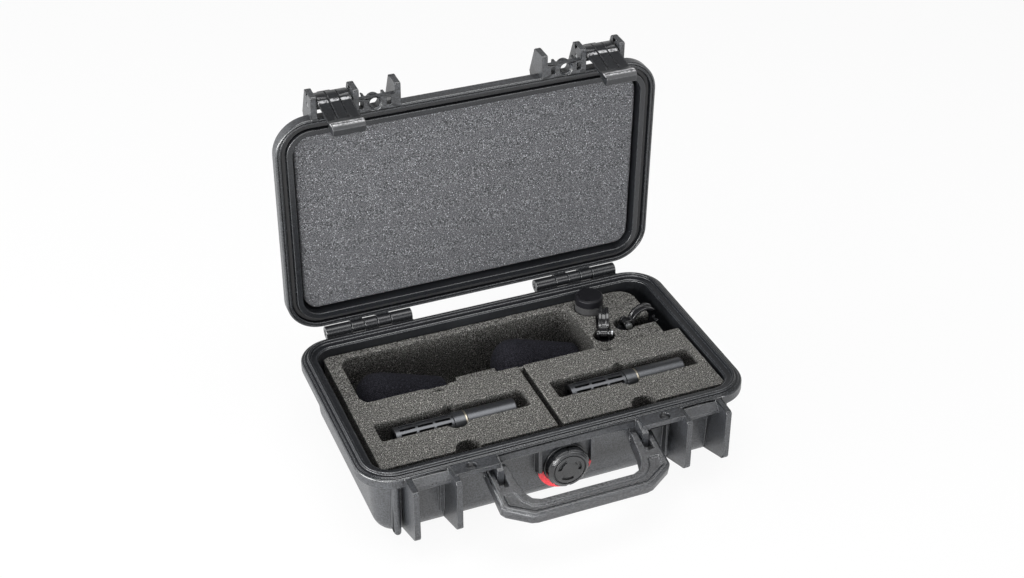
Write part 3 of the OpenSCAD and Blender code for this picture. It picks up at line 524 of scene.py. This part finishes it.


# ============================================================ foam
# Blocks of open-cell foam, knife cut and glued: a warm charcoal set in the base and a cooler
# grey sheet in the lid. The cut faces are a mass of burst cells with pale strands that catch
# the light, and every edge is a little ragged. The upright faces in the base get a darker
# colour, painted shade for its pockets.

def foam_look(name, deep, mid, pale, cell, flecks, gain, relief, steps=(0.36, 0.64)):
    """Burst cells with lone bright strands.

    cell: the size of a cell. flecks: the share of cells with a bright strand, gain times as
    bright as pale. steps: where the noise reads deep and pale.
    """
    mat, tree, skin, at = finish(name)
    skin.inputs["Roughness"].default_value = 0.9
    skin.inputs["Specular IOR Level"].default_value = 0.2
    grit = noise_in(tree, at, 1.0 / cell, detail=3.0, rough=0.7)
    shade = node(tree, "ShaderNodeValToRGB", {"Fac": grit})
    ramp = shade.color_ramp
    for stop, place, colour in zip(ramp.elements, steps, (deep, pale)):
        stop.position = place
        stop.color = (*colour, 1.0)
    ramp.elements.new(0.5).color = (*mid, 1.0)
    cells = node(tree, "ShaderNodeTexVoronoi", {"Vector": at, "Scale": 1.0 / (cell * 1.5),
        "Randomness": 1.0})
    lone = node(tree, "ShaderNodeSeparateColor", {"Color": cells.outputs["Color"]})
    chosen = spread(tree, lone.outputs[0], 1.0 - flecks, 1.0 - flecks * 0.4)
    near = spread(tree, cells.outputs["Distance"], 0.36, 0.12)
    spark = arithmetic(tree, "MULTIPLY", chosen, near)
    bright = tuple(min(1.0, c * gain) for c in pale)
    paint = node(tree, "ShaderNodeMix", {"Factor": spark, "A": shade.outputs[0],
        "B": (*bright, 1.0)}, data_type="RGBA")
    tree.links.new(paint.outputs["Result"], skin.inputs["Base Color"])
    embossed(tree, skin, grit, relief, depth=cell * 0.5)
    return mat


SWELL = 0.00018
SHRINK = 0.35     # the share of the raggedness that lies below the cut
ELSEWHERE = Vector((7.0, 3.0, 1.0))
UPRIGHT = 0.55


def cut_foam(name, cad, body, mat, voxel, cell, depth, wave, wall=None):
    """Foam cut from the CAD block: finely meshed, its edges softened, its faces ragged.

    voxel: the mesh's pitch. cell, depth: the size and height of the raggedness. wave: the
    length of the slow swell under it. wall: a darker finish for the upright faces, painted
    shade for the pockets cut in the foam.
    """
    rough = bpy.data.objects.new(name, merged(cad))
    scene.collection.objects.link(rough)
    mesher = rough.modifiers.new("mesher", "REMESH")
    mesher.mode = "VOXEL"
    mesher.voxel_size = voxel
    calm = rough.modifiers.new("calm", "SMOOTH")
    calm.factor = 0.5
    calm.iterations = 1
    done = settled(rough)
    for v, n in zip(done.vertices, [m.vector.copy() for m in done.vertex_normals]):
        fine = noise.noise(v.co / cell)
        slow = noise.noise(v.co / wave + ELSEWHERE)
        v.co = v.co + n * (depth * (fine - SHRINK) + SWELL * slow)
    done.shade_smooth()
    done.materials.clear()
    done.materials.append(mat)
    if wall:
        done.materials.append(wall)
        for face in done.polygons:
            face.material_index = int(abs(face.normal.z) < UPRIGHT)
    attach(rough, body)
    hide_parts(cad)


warm_foam = foam_look("warm_foam", (0.016, 0.0157, 0.0147), (0.088, 0.086, 0.081),
    (0.33, 0.323, 0.303), cell=0.0009, flecks=0.3, gain=2.2, relief=0.6, steps=(0.39, 0.62))
# The upright faces of the base foam get a darker colour: painted shade for its pockets.
warm_wall_shade = foam_look("warm_wall_shade", (0.008, 0.0078, 0.0073), (0.049, 0.048, 0.045),
    (0.21, 0.206, 0.195), cell=0.0009, flecks=0.2, gain=2.2, relief=0.6, steps=(0.39, 0.66))
cool_foam = foam_look("cool_foam", (0.018, 0.0185, 0.020), (0.076, 0.077, 0.082),
    (0.228, 0.231, 0.244), cell=0.0007, flecks=0.3, gain=3.0, relief=0.35,
    steps=(0.38, 0.63))
cut_foam("lid_lining", "lid_foam", "lid", cool_foam, voxel=0.0015, cell=0.0016,
    depth=0.00004, wave=0.03)
for cad in ("base_pad", "rear_foam", "block_left", "block_right"):
    cut_foam(cad + "_cut", cad, "base", warm_foam, voxel=0.0010, cell=0.0013,
        depth=0.00013, wave=0.02, wall=warm_wall_shade)


# ============================================================ microphones
# Slim pencil microphones, turned from brass and coated a satin dark grey: a slotted tube
# over the gauze of the capsule, a collar with a pale ring, and the preamplifier's body.

TURNING = (5200.0, 300.0, 300.0)


def coated(name, colour, rough, metal=0.75):
    """A satin coat over turned metal: faint rings about the piece's length."""
    mat, tree, skin, at = finish(name)
    skin.inputs["Metallic"].default_value = metal
    rings = noise_in(tree, drawn_out(tree, at, TURNING), 1.0, detail=2.0)
    grain = noise_in(tree, at, 2500.0, detail=1.0)
    painted(tree, skin, colour, spread(tree, rings, 0.3, 0.7, 0.9, 1.1))
    gloss = spread(tree, grain, 0.3, 0.7, rough - 0.04, rough + 0.06)
    tree.links.new(gloss, skin.inputs["Roughness"])
    embossed(tree, skin, grain, 0.08, depth=0.0001)
    return mat


def geometry_tree(name, sizes, counts):
    """A geometry tree with named inputs, and the sockets that give them."""
    tree = bpy.data.node_groups.new(name, "GeometryNodeTree")
    for kind, values in (("NodeSocketFloat", sizes), ("NodeSocketInt", counts)):
        for key, value in values.items():
            socket = tree.interface.new_socket(name=key, in_out="INPUT", socket_type=kind)
            socket.default_value = value
    tree.interface.new_socket(name="Geometry", in_out="OUTPUT",
        socket_type="NodeSocketGeometry")
    return tree, tree.nodes.new("NodeGroupInput").outputs


def repeated(tree, points, instance):
    """One instance on each point."""
    return node(tree, "GeometryNodeInstanceOnPoints", {"Points": points.outputs[0],
        "Instance": instance.outputs[0]}).outputs[0]


def finished(tree, geometry, place, turn, mat):
    """Ends a tree: what it made is turned, put in its place and given its material."""
    laid = node(tree, "GeometryNodeTransform", {"Geometry": geometry, "Rotation": turn,
        "Translation": node(tree, "ShaderNodeCombineXYZ", place).outputs[0]})
    dressed = node(tree, "GeometryNodeSetMaterial", {"Geometry": laid.outputs[0],
        "Material": mat})
    node(tree, "NodeGroupOutput", {0: dressed.outputs[0]})
    return tree


def grown(name, tree, body, values):
    """Turns a geometry tree into a plain mesh piece that rides on a body."""
    seed = bpy.data.objects.new(name, bpy.data.meshes.new(name + "_seed"))
    scene.collection.objects.link(seed)
    maker = seed.modifiers.new("maker", "NODES")
    maker.node_group = tree
    for item in tree.interface.items_tree:
        if item.in_out == "INPUT" and item.name in values:
            maker[item.identifier] = values[item.name]
    settled(seed)
    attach(seed, body)
    return seed


def gauze_tree(mat):
    """Woven gauze rolled into a tube: hoops along its length, wires along its sides."""
    tree, given = geometry_tree("gauze", {"Start": 0.0, "Depth": 0.0, "Height": 0.0,
        "Length": 0.0376, "Radius": 0.0058, "Wire": 0.00013}, {"Hoops": 54, "Wires": 40})
    pitch = arithmetic(tree, "DIVIDE", given["Length"], given["Hoops"])
    step = node(tree, "ShaderNodeCombineXYZ", {"Z": pitch})
    spine = node(tree, "GeometryNodeMeshLine", {"Count": given["Hoops"],
        "Offset": step.outputs[0]})
    hoop = node(tree, "GeometryNodeCurvePrimitiveCircle", {"Resolution": 24,
        "Radius": given["Radius"]})
    around = node(tree, "GeometryNodeMeshCircle", {"Vertices": given["Wires"],
        "Radius": given["Radius"]})
    top = node(tree, "ShaderNodeCombineXYZ", {"Z": given["Length"]})
    rod = node(tree, "GeometryNodeCurvePrimitiveLine", {"End": top.outputs[0]})
    lines = node(tree, "GeometryNodeJoinGeometry")
    tree.links.new(repeated(tree, spine, hoop), lines.inputs[0])
    tree.links.new(repeated(tree, around, rod), lines.inputs[0])
    real = node(tree, "GeometryNodeRealizeInstances", {0: lines.outputs[0]})
    round_wire = node(tree, "GeometryNodeCurvePrimitiveCircle", {"Resolution": 4,
        "Radius": given["Wire"]})
    wires = node(tree, "GeometryNodeCurveToMesh", {"Curve": real.outputs[0],
        "Profile Curve": round_wire.outputs[0], "Fill Caps": True})
    return finished(tree, wires.outputs[0], {"X": given["Start"], "Y": given["Depth"],
        "Z": given["Height"]}, (0.0, math.pi / 2, 0.0), mat)


def ring_beyond(x):
    """Finds the faces of the pale ring, which stands on the collar past x."""
    return lambda c, n: c.x > x and abs(n.x) < 0.9


RING_WIDTH = 0.0010
GAUZE_PLAY = 0.0002

mic_grey = coated("mic_grey", (0.086, 0.089, 0.095), rough=0.31, metal=0.85)
ring_gold = coated("ring_gold", (0.42, 0.385, 0.31), rough=0.34, metal=1.0)
gauze_dark = coated("gauze_dark", (0.05, 0.05, 0.052), rough=0.45)
plug_plate = ground_steel("plug_plate", (0.62, 0.62, 0.63), rough=0.2)
gauze = gauze_tree(gauze_dark)
for side in ("left", "right"):
    mic = "mic_" + side
    low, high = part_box(mic + "_collar")
    ring = ((ring_beyond(high[0] - RING_WIDTH), ring_gold),)
    for part, slot, metal, zones in (("tube", "mic_metal", mic_grey, ()),
            ("collar", "mic_metal", mic_grey, ring), ("body", "mic_metal", mic_grey, ()),
            ("plug", "plug_metal", plug_plate, ())):
        eased(f"{mic}_{part}_turned", f"{mic}_{part}", mic, metal, width=0.0002,
            angle=35, zones=zones)
    low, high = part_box(mic + "_grid")
    wound = grown(mic + "_gauze", gauze, mic, {
        "Start": low[0] + GAUZE_PLAY, "Depth": (low[1] + high[1]) / 2,
        "Height": (low[2] + high[2]) / 2, "Length": high[0] - low[0] - 2 * GAUZE_PLAY})
    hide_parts(mic + "_grid")


# ============================================================ windscreens
# Moulded foam to slip over each microphone: a blunt nose, tapering to an open end. The cells
# are fine, almost black with a blue cast.

screen_foam = foam_look("screen_foam", (0.003, 0.003, 0.0045), (0.009, 0.009, 0.013),
    (0.036, 0.036, 0.047), cell=0.0008, flecks=0.05, gain=2.0, relief=0.5)
for side in ("left", "right"):
    cut_foam(f"screen_{side}_foam", "screen_" + side, "screen_" + side,
        screen_foam, voxel=0.0011, cell=0.0011, depth=0.00012, wave=0.012)


# ============================================================ clips and cap
# Glossy nylon spring clips that snap over a microphone, each on a threaded foot with a
# cross screw, and a closed round cap whose cover sits on a ribbed foot.

def rib_tree(mat):
    """Fine upright ribs in a ring, as pressed into a screw-on foot for grip."""
    tree, given = geometry_tree("grip_ribs", {"Across": 0.0, "Along": 0.0, "Foot": 0.0,
        "Height": 0.005, "Radius": 0.0107, "Rib": 0.00034}, {"Ribs": 64})
    ring = node(tree, "GeometryNodeMeshCircle", {"Vertices": given["Ribs"],
        "Radius": given["Radius"]})
    rib = node(tree, "GeometryNodeMeshCylinder", {"Vertices": 6, "Radius": given["Rib"],
        "Depth": given["Height"]})
    real = node(tree, "GeometryNodeRealizeInstances", {0: repeated(tree, ring, rib)})
    half = arithmetic(tree, "MULTIPLY", given["Height"], 0.5)
    return finished(tree, real.outputs[0], {"X": given["Across"], "Y": given["Along"],
        "Z": arithmetic(tree, "ADD", given["Foot"], half)}, (0.0, 0.0, 0.0), mat)


clip_black = moulded("clip_black", (0.008, 0.008, 0.009), rough=0.17, grain=700.0,
    relief=0.01, cloud=0.05, speck=0.1, shine=0.8)
cap_black = moulded("cap_black", (0.007, 0.007, 0.009), rough=0.40, grain=2200.0,
    relief=0.05, cloud=0.06, speck=0.15, shine=0.25)
cap_grey = moulded("cap_grey", (0.045, 0.045, 0.046), rough=0.5, grain=1800.0, relief=0.3,
    cloud=0.06, speck=0.3)
for side in ("left", "right"):
    clip = "clip_" + side
    eased(clip + "_band", clip + "_ring", clip, clip_black, width=0.0005,
        steps=3, angle=24)
    eased(clip + "_base", clip + "_foot", clip, clip_black, steps=3)
    eased(clip + "_cross", clip + "_screw", clip, pin_steel, width=0.0002)
low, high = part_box("adapter_cap")
CAP_JOINT = high[2] - 0.0070
RIB_HEIGHT = 0.0094
RIBS_BELOW = 0.0100
RIBS_SUNK = 0.00025


def on_foot(c, n):
    return c.z < CAP_JOINT


eased("round_cap", "adapter_cap", "adapter_cap", cap_black, width=0.0005,
    steps=3, zones=((on_foot, cap_grey),))
grown("round_cap_ribs", rib_tree(cap_grey), "adapter_cap", {
    "Across": (low[0] + high[0]) / 2, "Along": (low[1] + high[1]) / 2,
    "Foot": CAP_JOINT - RIBS_BELOW, "Height": RIB_HEIGHT,
    "Radius": (high[0] - low[0]) / 2 - RIBS_SUNK})
